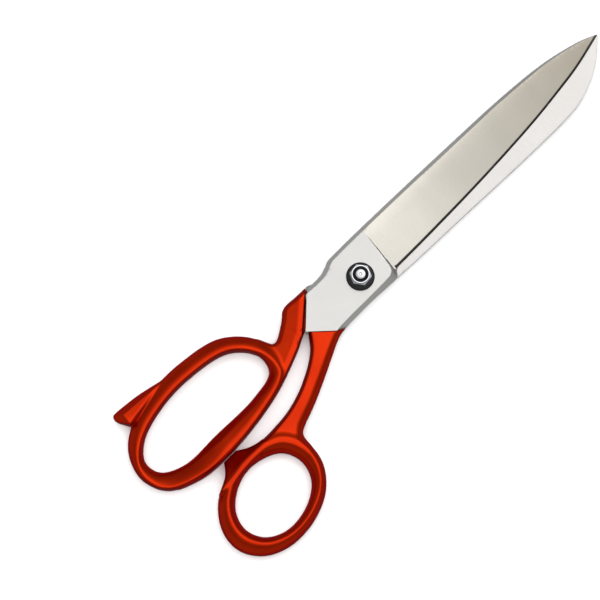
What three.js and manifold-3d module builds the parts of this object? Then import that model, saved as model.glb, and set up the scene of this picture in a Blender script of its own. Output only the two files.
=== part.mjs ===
// Nine-inch bent-handle fabric shears, lying closed on a table.
// Millimetres, +Z up, +Y towards the blade tips, +X towards the thumb bow.
// The origin is on the pivot axis, at the table.
import * as THREE from 'three';
import { mergeVertices } from 'three/addons/utils/BufferGeometryUtils.js';
import Module from 'manifold-3d';

const wasm = await Module();
wasm.setup();

// Driving dimensions
const MID_HEIGHT = 5; // the plane where the two inner faces meet
const RIDE_GAP = 0.1; // running clearance between the two inner faces
const RICASSO_TOP = 9; // outer flat of the upper half; the lower half mirrors it at 1
const BOW_THICKNESS = 10; // the bows reach from the table to this height
const PIECE_GAP = 0.3; // clearance between two pieces that are drawn touching
const ENAMEL_EDGE_SHIFT = PIECE_GAP * Math.SQRT2; // the same gap, measured along Y on a 45 degree line
const SPINE_CHAMFER = 1.4; // width of the ground band round the blade and ricasso
const SPINE_CHAMFER_HEIGHT = 3;
const GRIND_SLOPE_ACROSS = 0.147; // fall of the ground face from spine to edge
const GRIND_SLOPE_ALONG = 0.0155; // fall of the ground face from ricasso to tip
const SHANK_ROUNDING = 1.5;
const BOW_ROUNDING = 2.4;
const THUMB_LEAN = [0, 0.15]; // sideways shift of a bow's section per mm of height, x and y
const FINGER_LEAN = [0.35, 0.1];

const SCREW_HEAD_RADIUS = 5.5;
const SCREW_SHANK_RADIUS = 3;
const THREAD_RADIUS = 2; // M4
const PIVOT_HOLE_RADIUS = SCREW_SHANK_RADIUS + RIDE_GAP;
const SCREW_SHOULDER = 8.7;
const SCREW_TOP = 15.4;
const WASHER_RADIUS = 5.1;
const NUT_ACROSS_FLATS = 7; // M4 nylon-insert lock nut
const NUT_BASE = 10.4;
const NUT_HEX_HEIGHT = 3.3;
const NUT_HEIGHT = 4.7;
const NUT_CROWN_RADIUS = 3.25;
const NUT_TURN = THREE.MathUtils.degToRad(36);
const CROWN_WALL = 0.4; // metal round the nylon ring
const SPANNER_HOLE_RADIUS = 0.6;
const SPANNER_HOLE_OFFSET = 3.4;

// Two small solids on the handles: where each one starts and ends in height, and its rounded edge
const LUG = { bottom: 2.2, top: 7.4, rounding: 0.8, fullness: 3 };
const REST = { bottom: 1, top: 8.6, rounding: 1.1, fullness: 2 };

// Plain helpers
const ROUND_SEGMENTS = 40;

function solidFrom(geometry) {
  geometry.deleteAttribute('normal');
  geometry.deleteAttribute('uv');
  const merged = mergeVertices(geometry, 1e-4);
  return new wasm.Manifold(new wasm.Mesh({
    numProp: 3,
    vertProperties: merged.getAttribute('position').array,
    triVerts: merged.index.array,
  }));
}

function geometryFrom(solid) {
  const mesh = solid.getMesh();
  const geometry = new THREE.BufferGeometry();
  geometry.setAttribute('position', new THREE.BufferAttribute(mesh.vertProperties, mesh.numProp));
  geometry.setIndex(new THREE.BufferAttribute(mesh.triVerts, 1));
  return geometry;
}

const vectors = (points) => points.map(([x, y]) => new THREE.Vector2(x, y));

// A smooth closed loop through a few points
function loop(points, divisions) {
  const corners = points.map(([x, y]) => new THREE.Vector3(x, y, 0));
  const curve = new THREE.CatmullRomCurve3(corners, true, 'centripetal');
  return curve.getSpacedPoints(divisions).slice(0, -1).map(({ x, y }) => new THREE.Vector2(x, y));
}

// An outline of stretches: each one is a smooth curve on from the last point, or a straight
// line where it has a single point
function outline(start, stretches) {
  const shape = new THREE.Shape();
  shape.moveTo(...start);
  for (const stretch of stretches) {
    if (stretch.length === 1) shape.lineTo(...stretch[0]);
    else shape.splineThru(vectors(stretch));
  }
  return shape;
}

// The way into the material at each corner of an outline, long enough at a bend to keep both
// sides of it one unit in
function inwardSteps(points, isHole) {
  const ring = points.filter((point, i) => point.distanceTo(points.at(i - 1)) > 1e-6);
  if (THREE.ShapeUtils.isClockWise(ring) !== isHole) ring.reverse();
  return ring.map((point, i) => {
    const before = point.clone().sub(ring.at(i - 1)).normalize();
    const after = ring[(i + 1) % ring.length].clone().sub(point).normalize();
    const along = before.clone().add(after).normalize();
    const stretch = Math.min(1 / Math.max(along.dot(before), 0.1), 1.5);
    return { point, inward: new THREE.Vector2(-along.y, along.x).multiplyScalar(stretch) };
  });
}

// A plate between two heights. Its edge stands insetAt(height) inside its outline, in even layers.
function plate(shape, bottom, top, layers = 1, insetAt = () => 0) {
  const curveSegments = 4;
  const geometry = new THREE.ExtrudeGeometry(shape, {
    depth: top - bottom, steps: layers, curveSegments, bevelEnabled: false,
  });
  const { shape: rim, holes } = shape.extractPoints(curveSegments);
  const key = (x, y) => `${Math.fround(x)} ${Math.fround(y)}`;
  const corners = [inwardSteps(rim, false), ...holes.map((hole) => inwardSteps(hole, true))].flat();
  const inwardFrom = new Map(corners.map(({ point, inward }) => [key(point.x, point.y), inward]));
  const position = geometry.getAttribute('position');
  for (let i = 0; i < position.count; i += 1) {
    const height = bottom + position.getZ(i);
    const inward = inwardFrom.get(key(position.getX(i), position.getY(i)));
    const inset = insetAt(height);
    position.setXYZ(i, position.getX(i) + inward.x * inset, position.getY(i) + inward.y * inset, height);
  }
  return geometry;
}

// A rounded edge: full width at mid height, drawn in by `rounding` at both faces
const roundedEdge = (bottom, top, rounding, fullness) => (height) => {
  const reach = Math.abs(2 * height - bottom - top) / (top - bottom);
  return rounding * (1 - (1 - reach ** fullness) ** (1 / fullness));
};

const roundedPlate = (shape, { bottom, top, rounding, fullness }) => solidFrom(
  plate(shape, bottom, top, 4, roundedEdge(bottom, top, rounding, fullness)));

const prism = (points, bottom, top) => solidFrom(plate(new THREE.Shape(vectors(points)), bottom, top));

// A turned piece about the pivot axis, from [radius, height] points
const lathe = (profile) => solidFrom(
  new THREE.LatheGeometry(vectors(profile), ROUND_SEGMENTS).rotateX(Math.PI / 2));

const shear = (xz, yz, zx, zy) => new THREE.Matrix4().makeShear(0, xz, 0, yz, zx, zy);

// Where the two halves cross. Both halves are drawn the upper way round, with the spine on -X;
// the lower half is turned over about the Y axis afterwards.
const CROTCH = [0, -27.65]; // the bottom corner of the ricasso
const FREE_EDGE_SLOPE = -1.105; // the ricasso's lower edge on the spine side, clear of the other half
const SHOULDER_FOOT = [0.8, -28.4]; // the step down to the other half's ricasso starts here
const SHOULDER_SLOPE = 1.155;
const ENAMEL_EDGE = [[7.6, -19.6], [8.9, -15.8]]; // the enamel ends on the line from the crotch through these
const FAR = 160; // well outside the part

const alongLine = ([x, y], slope, step) => [x + step, y + slope * step];

// Everything on the blade side of the enamel's edge and of the free lower edge
const steelSide = (enamelEdge, shiftY) => [
  alongLine(CROTCH, FREE_EDGE_SLOPE, -FAR), CROTCH, ...enamelEdge,
  alongLine(enamelEdge.at(-1), 2, FAR / 8), [FAR, FAR], [-FAR, FAR * 1.2],
].map(([x, y]) => [x, y + shiftY]);

// Everything on the blade side of the shoulder
const shoulderSide = [
  alongLine(SHOULDER_FOOT, SHOULDER_SLOPE, -4), alongLine(SHOULDER_FOOT, SHOULDER_SLOPE, 30),
  [-FAR, FAR], [-FAR, -30],
];

// The ground face of a blade falls from the spine to the edge and from the ricasso to the tip
const GRIND_START = [[-FAR, 14], [-9.8, 12.6], [-9.2, 12.2], [5, 10.2], [FAR, 10.2], [FAR, FAR], [-FAR, FAR]];

function grindingCut(spineX) {
  const cut = plate(new THREE.Shape(vectors(GRIND_START)), 0, BOW_THICKNESS);
  cut.applyMatrix4(shear(-GRIND_SLOPE_ACROSS, -GRIND_SLOPE_ALONG, 0, 0));
  cut.translate(0, 0, RICASSO_TOP + GRIND_SLOPE_ACROSS * spineX + GRIND_SLOPE_ALONG * 12);
  return solidFrom(cut);
}

function bladeHalf(shape, enamelEdge, spineX) {
  const inner = MID_HEIGHT + RIDE_GAP / 2;
  const chamferFoot = RICASSO_TOP - SPINE_CHAMFER_HEIGHT;
  const chamfer = (height) => SPINE_CHAMFER * Math.max(0, height - chamferFoot) / SPINE_CHAMFER_HEIGHT;
  const blank = solidFrom(plate(shape, chamferFoot - SPINE_CHAMFER_HEIGHT, RICASSO_TOP, 2, chamfer));
  const bore = solidFrom(new THREE.CylinderGeometry(
    PIVOT_HOLE_RADIUS, PIVOT_HOLE_RADIUS, 3 * BOW_THICKNESS, ROUND_SEGMENTS).rotateX(Math.PI / 2));
  return blank
    .intersect(prism(steelSide(enamelEdge, 0), inner, RICASSO_TOP + 1))
    .subtract(grindingCut(spineX))
    .subtract(bore);
}

function handleHalf(shank, bow, extras, enamelEdge) {
  const whole = extras.reduce((sum, extra) => sum.add(extra), shank.add(bow));
  return whole
    .subtract(prism(steelSide(enamelEdge, -ENAMEL_EDGE_SHIFT), MID_HEIGHT - RIDE_GAP / 2, BOW_THICKNESS + 1))
    .subtract(prism(shoulderSide, -1, MID_HEIGHT + RIDE_GAP / 2));
}

function bowRing(outer, hole, lean) {
  const ring = new THREE.Shape(loop(outer, 56));
  ring.holes.push(new THREE.Path(loop(hole, 48)));
  const geometry = plate(ring, 0, BOW_THICKNESS, 8, roundedEdge(0, BOW_THICKNESS, BOW_ROUNDING, 2));
  geometry.translate(0, 0, -MID_HEIGHT);
  geometry.applyMatrix4(shear(0, 0, ...lean));
  geometry.translate(0, 0, MID_HEIGHT);
  return solidFrom(geometry);
}

function shankPlate(shape) {
  const bottom = BOW_THICKNESS - RICASSO_TOP;
  const edge = roundedEdge(bottom, RICASSO_TOP, SHANK_ROUNDING, 4);
  return solidFrom(plate(shape, bottom, RICASSO_TOP, 8, edge));
}

// Upper half: the pointed blade and the thumb handle
const upperBladeOutline = outline([-10.5, -30], [
  [[-10.5, -14]],
  [[-10.6, -9.5], [-11.5, -6.3], [-12.4, -4.2], [-12.55, -2]],
  [[-12.5, 8], [-11.9, 30], [-10.9, 58], [-9.9, 80], [-8, 100], [-4.6, 115], [-1.3, 123]],
  [[1.6, 110.5], [3.1, 100], [4.9, 82], [6.2, 56], [6.7, 30], [6.7, 12.4]],
  [[7.6, 10.9], [9, 9.8], [9.4, 8]],
  [[8.8, -3], [8.8, -13], [9.4, -19]],
  [[14, -30]],
]);

const thumbShank = outline([0.3, -27.9], [
  [[8.9, -15.2]],
  [[9.2, -18.5], [10, -21.5], [13, -27.9], [16.6, -35.5], [20, -43.2], [22.4, -49.8]],
  [[23.7, -52.8], [25.6, -54.5], [29, -55.6]],
  [[28, -59]],
  [[20, -65]],
  [[16.2, -67]],
  [[15.8, -60], [15.3, -53.5], [14, -47.5], [12, -42], [9, -36], [5.8, -31.4], [2.4, -28.4]],
]);

const thumbBowOuter = [
  [15.5, -71], [15.9, -81.5], [20.1, -92], [29, -98.7], [38, -99.2], [45.6, -94], [49.5, -85],
  [49.1, -73], [44.5, -62.6], [36.5, -56.2], [27, -55.2], [18.6, -60],
];
const thumbBowHole = [
  [19.9, -75], [21.6, -83.2], [27, -90.1], [34, -92.3], [40.8, -89.4], [44.6, -82],
  [43.6, -71.8], [38.4, -63.8], [31, -61.4], [23.8, -64.4],
];
const closingLug = outline([18.5, -66], [
  [[16, -66]],
  [[15.3, -68.6], [13.8, -72], [12, -74.9]],
  [[12, -80.9]],
  [[13.6, -82], [15.8, -83.7], [17.2, -86]],
  [[18.5, -86]],
]);

// Lower half, drawn turned over: the broad blade and the finger handle
const lowerBladeOutline = outline([-14, -30], [
  [[-8.5, -16]],
  [[-8.5, -5], [-9.2, 9], [-9.8, 20], [-10.6, 42], [-11.7, 68], [-12.2, 88]],
  [[-11.7, 99], [-9.4, 107.4], [-5.5, 115], [1, 123]],
  [[3.8, 110.5], [5, 98], [6, 80], [6.6, 56], [6.75, 30], [6.7, 12.4]],
  [[7.6, 10.9], [9, 9.8], [9.3, 8]],
  [[9.2, -11.8]],
  [[11.3, -14.4]],
  [[11.8, -16]],
  [[11.8, -30]],
]);
const lowerEnamelEdge = [[7.6, -19.6], [12, -15.6]];

const fingerShank = outline([0.4, -28.2], [
  [[-0.4, -29.8], [-2.3, -33.6], [-4.8, -40], [-7.5, -48], [-9.3, -56.5], [-10.4, -65]],
  [[-7, -66]],
  [[-5.5, -52]],
  [[-3.4, -46.6]],
  [[5, -43.4]],
  [[12.4, -47]],
  [[15, -44.4]],
  [[12, -42.3], [7.6, -39.7], [5.6, -38.6], [5.3, -37.2]],
  [[6.2, -35.2], [9, -30.8], [11.8, -26.8]],
  [[11.4, -15]],
]);
const fingerBowOuter = [
  [-11.1, -76], [-10.3, -89], [-5, -101.6], [4.5, -105.6], [14.5, -102.2], [20.8, -94],
  [24.2, -80], [24.1, -66], [20.4, -50.6], [11, -41.6], [1, -40.4], [-5.2, -45.5], [-9.1, -59],
];
const fingerBowHole = [
  [-3.2, -57], [-3, -76], [-2.6, -91], [1.8, -99.2], [8, -100.2], [13.6, -94.8], [17.3, -83],
  [18, -68], [14.4, -51.8], [6.6, -45.4], [-0.6, -46.8],
];
const fingerRest = outline([21.2, -71], [
  [[23.6, -72]],
  [[25.6, -80.5], [26.9, -87], [27.8, -95]],
  [[27.6, -96.6], [26.3, -97.4], [24.4, -97]],
  [[20.6, -94.6]],
  [[19.4, -90]],
]);

// Pivot set
function pivotScrew() {
  const headTop = BOW_THICKNESS - RICASSO_TOP - RIDE_GAP;
  const chamfer = 0.3;
  const body = lathe([
    [0, 0], [SCREW_HEAD_RADIUS - chamfer, 0], [SCREW_HEAD_RADIUS, chamfer], [SCREW_HEAD_RADIUS, headTop],
    [SCREW_SHANK_RADIUS, headTop], [SCREW_SHANK_RADIUS, SCREW_SHOULDER], [THREAD_RADIUS, SCREW_SHOULDER],
    [THREAD_RADIUS, SCREW_TOP - chamfer], [THREAD_RADIUS - chamfer, SCREW_TOP], [0, SCREW_TOP],
  ]);
  const spannerHole = (x) => solidFrom(new THREE.CylinderGeometry(
    SPANNER_HOLE_RADIUS, SPANNER_HOLE_RADIUS, 1.2, 16).rotateX(Math.PI / 2).translate(x, 0, 0));
  return [-SPANNER_HOLE_OFFSET, SPANNER_HOLE_OFFSET]
    .reduce((screw, x) => screw.subtract(spannerHole(x)), body);
}

function springWasher() {
  const bore = THREAD_RADIUS + PIECE_GAP;
  const base = RICASSO_TOP + RIDE_GAP;
  const rise = 0.4;
  const thickness = 0.6;
  return lathe([
    [bore, base + rise], [WASHER_RADIUS, base], [WASHER_RADIUS, base + thickness],
    [bore, base + rise + thickness], [bore, base + rise],
  ]);
}

function lockNut() {
  const corner = NUT_ACROSS_FLATS / Math.sqrt(3);
  const bore = THREAD_RADIUS + PIECE_GAP;
  const pocket = NUT_CROWN_RADIUS - CROWN_WALL;
  const top = NUT_BASE + NUT_HEIGHT;
  const hexTop = NUT_BASE + NUT_HEX_HEIGHT;
  const turned = lathe([
    [bore, NUT_BASE], [corner - 0.4, NUT_BASE], [corner, NUT_BASE + 0.3], [corner, hexTop - 0.3],
    [corner - 0.5, hexTop], [NUT_CROWN_RADIUS, hexTop], [NUT_CROWN_RADIUS, top], [pocket, top],
    [pocket, hexTop - 0.4], [bore, hexTop - 0.4], [bore, NUT_BASE],
  ]);
  const hexagon = solidFrom(new THREE.CylinderGeometry(corner, corner, 2 * NUT_HEIGHT, 6)
    .rotateX(Math.PI / 2).rotateZ(NUT_TURN).translate(0, 0, top));
  return turned.intersect(hexagon);
}

function nylonInsert() {
  const bore = THREAD_RADIUS + PIECE_GAP;
  const outer = NUT_CROWN_RADIUS - CROWN_WALL - PIECE_GAP / 3;
  const base = NUT_BASE + NUT_HEX_HEIGHT - 0.3;
  const top = NUT_BASE + NUT_HEIGHT - 0.1;
  return lathe([[bore, base], [outer, base], [outer, top], [bore, top], [bore, base]]);
}

// Colours and finishes
const satinSteel = { color: 0xcfcdc6, roughness: 0.34, metalness: 1 };
const enamel = { color: 0xb82400, roughness: 0.25, metalness: 0.3 };
const chrome = { color: 0xe4e5e8, roughness: 0.12, metalness: 1 };
const blackOxide = { color: 0x2b2c2e, roughness: 0.45, metalness: 0.8 };
const blackNylon = { color: 0x101012, roughness: 0.5, metalness: 0 };

const shears = new THREE.Group();

function addPiece(parent, name, solid, finish) {
  const mesh = new THREE.Mesh(geometryFrom(solid), new THREE.MeshStandardMaterial(finish));
  mesh.name = name;
  parent.add(mesh);
}

const thumbLug = roundedPlate(closingLug, LUG);
addPiece(shears, 'upper_blade', bladeHalf(upperBladeOutline, ENAMEL_EDGE, -11), satinSteel);
addPiece(shears, 'thumb_handle', handleHalf(shankPlate(thumbShank),
  bowRing(thumbBowOuter, thumbBowHole, THUMB_LEAN), [thumbLug], ENAMEL_EDGE), enamel);

const lowerHalf = new THREE.Group();
lowerHalf.rotation.y = Math.PI;
lowerHalf.position.z = BOW_THICKNESS;
shears.add(lowerHalf);
const fingerHorn = roundedPlate(fingerRest, REST);
addPiece(lowerHalf, 'lower_blade', bladeHalf(lowerBladeOutline, lowerEnamelEdge, -9), satinSteel);
addPiece(lowerHalf, 'finger_handle', handleHalf(shankPlate(fingerShank),
  bowRing(fingerBowOuter, fingerBowHole, FINGER_LEAN), [fingerHorn], lowerEnamelEdge), enamel);

addPiece(shears, 'pivot_screw', pivotScrew(), chrome);
addPiece(shears, 'spring_washer', springWasher(), blackOxide);
addPiece(shears, 'lock_nut', lockNut(), chrome);
addPiece(shears, 'nylon_insert', nylonInsert(), blackNylon);

export default shears;
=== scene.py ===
"""Nine-inch fabric shears with enamelled bent handles, closed on a pale table.

Shapes are worked out in millimetres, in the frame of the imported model: the pivot axis is Z,
the blade tips point along +Y and the thumb bow lies on +X. Meshes are made in metres.
"""
import math
from functools import cache

import bpy
import numpy as np
import openvdb
from mathutils import Matrix, Vector
from mathutils.geometry import delaunay_2d_cdt


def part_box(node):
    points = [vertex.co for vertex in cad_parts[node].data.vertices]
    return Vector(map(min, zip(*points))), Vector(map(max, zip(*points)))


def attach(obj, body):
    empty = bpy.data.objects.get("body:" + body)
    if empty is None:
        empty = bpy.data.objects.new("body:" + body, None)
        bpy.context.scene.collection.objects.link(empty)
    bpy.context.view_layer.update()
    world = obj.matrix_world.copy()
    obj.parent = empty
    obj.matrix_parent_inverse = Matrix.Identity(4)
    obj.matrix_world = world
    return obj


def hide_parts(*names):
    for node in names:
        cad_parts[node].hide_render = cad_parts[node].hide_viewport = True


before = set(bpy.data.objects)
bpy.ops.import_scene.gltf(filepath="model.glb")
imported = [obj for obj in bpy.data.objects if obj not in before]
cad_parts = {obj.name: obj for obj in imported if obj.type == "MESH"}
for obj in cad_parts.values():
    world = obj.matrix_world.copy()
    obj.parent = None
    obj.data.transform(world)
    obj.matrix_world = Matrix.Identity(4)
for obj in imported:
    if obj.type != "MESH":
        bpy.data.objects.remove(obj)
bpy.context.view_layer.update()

MM = 0.001
MID = 5.0            # the plane where the two halves meet
GAP = 0.05           # running clearance on each side of it
FLAT = 9.0           # outer flat of the upper ricasso; the lower half mirrors it
BOW_HALF = 5.0       # half the thickness of a bow
BORE_RADIUS = 3.1    # pivot hole through each half
VOXEL = 0.26         # grid of the solid forms of the handles
FAR = 99.0           # higher or further than anything on the object


# ---------------------------------------------------------------- curves in the plane

def smooth(points, closed=False, step=0.6):
    """A Catmull-Rom curve through the points: centripetal where it closes, uniform where it is open."""
    p = np.array(points, float)
    n = len(p)
    power = 0.5 if closed else 0.0
    at = (lambda i: p[i % n]) if closed else (lambda i: p[min(max(i, 0), n - 1)])
    out = []
    for i in range(n if closed else n - 1):
        a, b, c, d = at(i - 1), at(i), at(i + 1), at(i + 2)
        t0, t1, t2 = (max(np.linalg.norm(v), 1e-6) ** power for v in (b - a, c - b, d - c))
        leave = ((b - a) / t0 - (c - a) / (t0 + t1) + (c - b) / t1) * t1
        reach = ((c - b) / t1 - (d - b) / (t1 + t2) + (d - c) / t2) * t1
        count = max(1, int(round(np.linalg.norm(c - b) / step)))
        for s in np.arange(count) / count:
            out.append(b * (2 * s**3 - 3 * s**2 + 1) + c * (3 * s**2 - 2 * s**3)
                       + leave * (s**3 - 2 * s**2 + s) + reach * (s**3 - s**2))
    if not closed:
        out.append(p[-1])
    return np.array(out)


def run(*stretches, step=0.6):
    """Smooth stretches joined at sharp corners."""
    parts = [smooth(s, step=step) if len(s) > 1 else np.array(s, float) for s in stretches]
    joined = [parts[0]]
    for part in parts[1:]:
        near = np.linalg.norm(part[0] - joined[-1][-1]) < 1e-6
        joined.append(part[1:] if near else part)
    return np.concatenate(joined)


def offset_line(line, distance):
    """The line moved to its left by a distance, which may differ from point to point."""
    tangent = np.gradient(line, axis=0)
    tangent /= np.maximum(np.linalg.norm(tangent, axis=1), 1e-9)[:, None]
    return line + np.reshape(distance, (-1, 1)) * np.stack([-tangent[:, 1], tangent[:, 0]], axis=1)


def reach(line, x, y, closed=False):
    """Distance from a line, positive on its left."""
    best = np.full(np.shape(x), math.inf)
    sign = np.ones(np.shape(x))
    ends = np.roll(line, -1, axis=0) if closed else line[1:]
    for (ax, ay), (bx, by) in zip(line, ends):
        ux, uy = bx - ax, by - ay
        size = ux * ux + uy * uy
        if size < 1e-12:
            continue
        t = np.clip(((x - ax) * ux + (y - ay) * uy) / size, 0, 1)
        far = np.hypot(x - ax - t * ux, y - ay - t * uy)
        side = ux * (y - ay) - uy * (x - ax)
        closer = far < best - 1e-9
        best = np.where(closer, far, best)
        sign = np.where(closer, np.where(side >= 0, 1.0, -1.0), sign)
    return best * sign


def within(loop, x, y):
    """Even-odd test against a closed loop."""
    inside = np.zeros(np.shape(x), bool)
    for (ax, ay), (bx, by) in zip(loop, np.roll(loop, -1, axis=0)):
        if ay == by:
            continue
        crosses = (ay > y) != (by > y)
        inside ^= crosses & (x < (bx - ax) * (y - ay) / (by - ay) + ax)
    return inside


def depth(loop, x, y):
    """Distance inside a closed loop, negative outside."""
    far = np.abs(reach(loop, x, y, closed=True))
    return np.where(within(loop, x, y), far, -far)


def ease(value, start, end):
    """Climbs smoothly from 0 at start to 1 at end."""
    t = np.clip((value - start) / (end - start), 0, 1)
    return t * t * (3 - 2 * t)


def soft_min(a, b, radius):
    """The smaller of two fields, with a fillet where they cross."""
    near = np.maximum(radius - np.abs(a - b), 0) / radius
    return np.minimum(a, b) - near * near * radius / 4


def soft_max(a, b, radius):
    return -soft_min(-a, -b, radius)


# ---------------------------------------------------------------- meshes and pieces

def make_object(name, verts, faces, smooth_faces=True):
    mesh = bpy.data.meshes.new(name)
    mesh.from_pydata([tuple(v) for v in verts], [], [tuple(int(i) for i in f) for f in faces])
    mesh.update()
    if smooth_faces:
        mesh.polygons.foreach_set("use_smooth", [True] * len(mesh.polygons))
    thing = bpy.data.objects.new(name, mesh)
    bpy.context.scene.collection.objects.link(thing)
    return thing


def crisp(thing, degrees=32.0):
    """Sharp where faces meet at more than this angle, with flat faces kept flat in the shading."""
    thing.data.set_sharp_from_angle(angle=math.radians(degrees))
    weighted = thing.modifiers.new("weighted", "WEIGHTED_NORMAL")
    weighted.keep_sharp = True


def install(thing, body, node, materials):
    """Gives a piece its materials and its body, and hides the CAD node that it stands for."""
    for material in materials:
        thing.data.materials.append(material)
    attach(thing, body)
    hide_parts(node)


# ---------------------------------------------------------------- handles as solid forms

class Block:
    """A box of grid points round a handle. Its methods return fields that are negative inside the form,
    and every form is the same above and below mid height. Edge lines run with the form on their left."""

    def __init__(self, x_range, y_range, z_range):
        self.low = np.array([x_range[0], y_range[0], z_range[0]], float)
        counts = [int((hi - lo) / VOXEL) + 1 for lo, hi in (x_range, y_range, z_range)]
        axes = [lo + VOXEL * np.arange(c) for lo, c in zip(self.low, counts)]
        self.x, self.y = np.meshgrid(axes[0], axes[1], indexing="ij")
        self.z = axes[2]
        self.up = (self.z - MID)[None, None, :]

    def as_distance(self, field):
        """The field divided by its slope, so that it reads as millimetres near the surface."""
        steepness = np.sqrt(sum(g * g for g in np.gradient(field, VOXEL)))
        return field / np.maximum(steepness, 0.02)

    def ring(self, outer, hole, ridge, lobe):
        """A bow between two loops. Its ridge stands off the middle of the section by the ridge vector,
        and a lobe below 2 makes the section sharper across."""
        to_outer = depth(outer, self.x, self.y)
        to_hole = -depth(hole, self.x, self.y)
        width = np.maximum((to_outer + to_hole) / 2, 0.3)
        across = (to_hole - to_outer) / (2 * width)
        gx, gy = np.gradient(across, VOXEL)
        size = np.maximum(np.hypot(gx, gy), 1e-6)
        shift = np.clip((gx * ridge[0] + gy * ridge[1]) / size / width, -0.86, 0.86)
        side = np.where(across > shift, (across - shift) / (1 - shift), (shift - across) / (1 + shift))
        shape = (np.clip(side, 0, 4) ** lobe)[..., None] + (self.up / BOW_HALF) ** 2
        return self.as_distance(np.sqrt(shape) - 1)

    def slope(self, foot, crest, foot_height, crest_height):
        """Everything under a face that climbs from the foot line to the crest line."""
        at_foot = reach(foot, self.x, self.y)
        at_crest = reach(crest, self.x, self.y)
        width = np.maximum(at_foot - at_crest, 0.15)
        climb = crest_height - foot_height
        height = foot_height + climb * np.clip(at_foot / width, -3, 3)
        return (np.abs(self.up) - height[..., None]) / np.sqrt(1 + (climb / width) ** 2)[..., None]

    def rounded(self, line, radius, foot_height, crest_height):
        """Everything under a face that curves over from the line, up to its full height one radius in."""
        part = np.clip(reach(line, self.x, self.y) / radius, 0.004, 1)
        height = foot_height + (crest_height - foot_height) * np.sqrt(1 - (1 - part) ** 2)
        return (np.abs(self.up) - height[..., None]) * 0.6

    def top(self, height):
        """Everything under a height, which may be one number or a map."""
        return np.abs(self.up) - (height[..., None] if np.ndim(height) else height)

    def crown(self, left, right, height):
        """How much a face stands up between two edges: all of the height in the middle, none at the edges."""
        from_left = np.abs(reach(left, self.x, self.y))
        from_right = np.abs(reach(right, self.x, self.y))
        across = (from_left - from_right) / np.maximum(from_left + from_right, 0.1)
        return height * (1 - across**2)

    def wall(self, distance):
        """Everything where the plane distance is positive."""
        return np.broadcast_to(-distance[..., None], distance.shape + self.z.shape)

    def mesh(self, name, field, rounds=4):
        """The field's surface, evened out along itself in a few rounds and pulled back onto the field."""
        grid = openvdb.FloatGrid(background=3.0)
        grid.copyFromArray(np.ascontiguousarray(field, dtype=np.float32))
        points, quads = grid.convertToQuads(isovalue=0.0)[:2]
        points = np.array(points, float)
        quads = np.array(quads, int)
        points, quads = largest_shell(points, quads)
        gradient = np.stack(np.gradient(field), axis=-1)
        ties = np.concatenate([quads[:, [0, 1]], quads[:, [1, 2]], quads[:, [2, 3]], quads[:, [3, 0]]])
        for _ in range(rounds):
            total = np.zeros_like(points)
            count = np.zeros(len(points))
            for a, b in ((0, 1), (1, 0)):
                np.add.at(total, ties[:, a], points[ties[:, b]])
                np.add.at(count, ties[:, a], 1)
            points = points * 0.5 + total / count[:, None] * 0.5
            for _ in range(2):
                value = sample(field, points)
                pull = sample(gradient, points)
                points = points - pull * np.clip(
                    value / np.maximum((pull**2).sum(-1), 1e-6), -0.6, 0.6)[:, None]
        return make_object(name, (self.low + points * VOXEL) * MM, quads[:, ::-1])


def largest_shell(points, quads):
    """Keeps the biggest connected piece of a mesh."""
    label = np.arange(len(points))
    while True:
        low = label[quads].min(axis=1)
        new = label.copy()
        for k in range(4):
            np.minimum.at(new, quads[:, k], low)
        new = new[new]
        if (new == label).all():
            break
        label = new
    names, counts = np.unique(label, return_counts=True)
    keep = label == names[counts.argmax()]
    index = np.cumsum(keep) - 1
    return points[keep], index[quads[keep[quads[:, 0]]]]


def sample(grid, points):
    """Trilinear reading of a grid at fractional places."""
    limit = np.array(grid.shape[:3]) - 1.001
    p = np.clip(points, 0, limit)
    i = p.astype(int)
    f = p - i
    total = 0
    for corner in range(8):
        step = [(corner >> k) & 1 for k in range(3)]
        weight = np.prod([f[:, k] if step[k] else 1 - f[:, k] for k in range(3)], axis=0)
        value = grid[i[:, 0] + step[0], i[:, 1] + step[1], i[:, 2] + step[2]]
        total = total + (weight[:, None] if value.ndim > 1 else weight) * value
    return total


# The crossing of the two halves, drawn for the upper one
CROTCH = (0.0, -27.65)
ENAMEL_EDGE = [CROTCH, (7.6, -19.6), (8.9, -15.8), (12.9, -7.8), (20, 6)]
FREE_EDGE = [(-30, 5.5), CROTCH]
LOWER_ENAMEL_EDGE = [CROTCH, (7.6, -19.6), (12, -15.6), (20, -8)]
SHOULDER = [(-29.2, -63.05), (30.8, 6.25)]

THUMB_BOW = smooth([
    (15.5, -71), (15.9, -81.5), (20.1, -92), (29, -98.7), (38, -99.2), (45.6, -94), (49.5, -85),
    (49.1, -73), (44.5, -62.6), (36.5, -56.2), (27, -55.2), (18.6, -60)], closed=True)
THUMB_HOLE = smooth([
    (19.9, -75), (21.6, -83.2), (27, -90.1), (34, -92.3), (40.8, -89.4), (44.6, -82),
    (43.6, -71.8), (38.4, -63.8), (31, -61.4), (23.8, -64.4)], closed=True)
FINGER_BOW = smooth([
    (11.1, -76), (10.3, -89), (5, -101.6), (-4.5, -105.6), (-14.5, -102.2), (-20.8, -94),
    (-24.2, -80), (-24.1, -66), (-20.4, -50.6), (-11, -41.6), (-1, -40.4), (5.2, -45.5), (9.1, -59)],
    closed=True)
FINGER_HOLE = smooth([
    (3.2, -57), (3, -76), (2.6, -91), (-1.8, -99.2), (-8, -100.2), (-13.6, -94.8), (-17.3, -83),
    (-18, -68), (-14.4, -51.8), (-6.6, -45.4), (0.6, -46.8)], closed=True)

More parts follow.
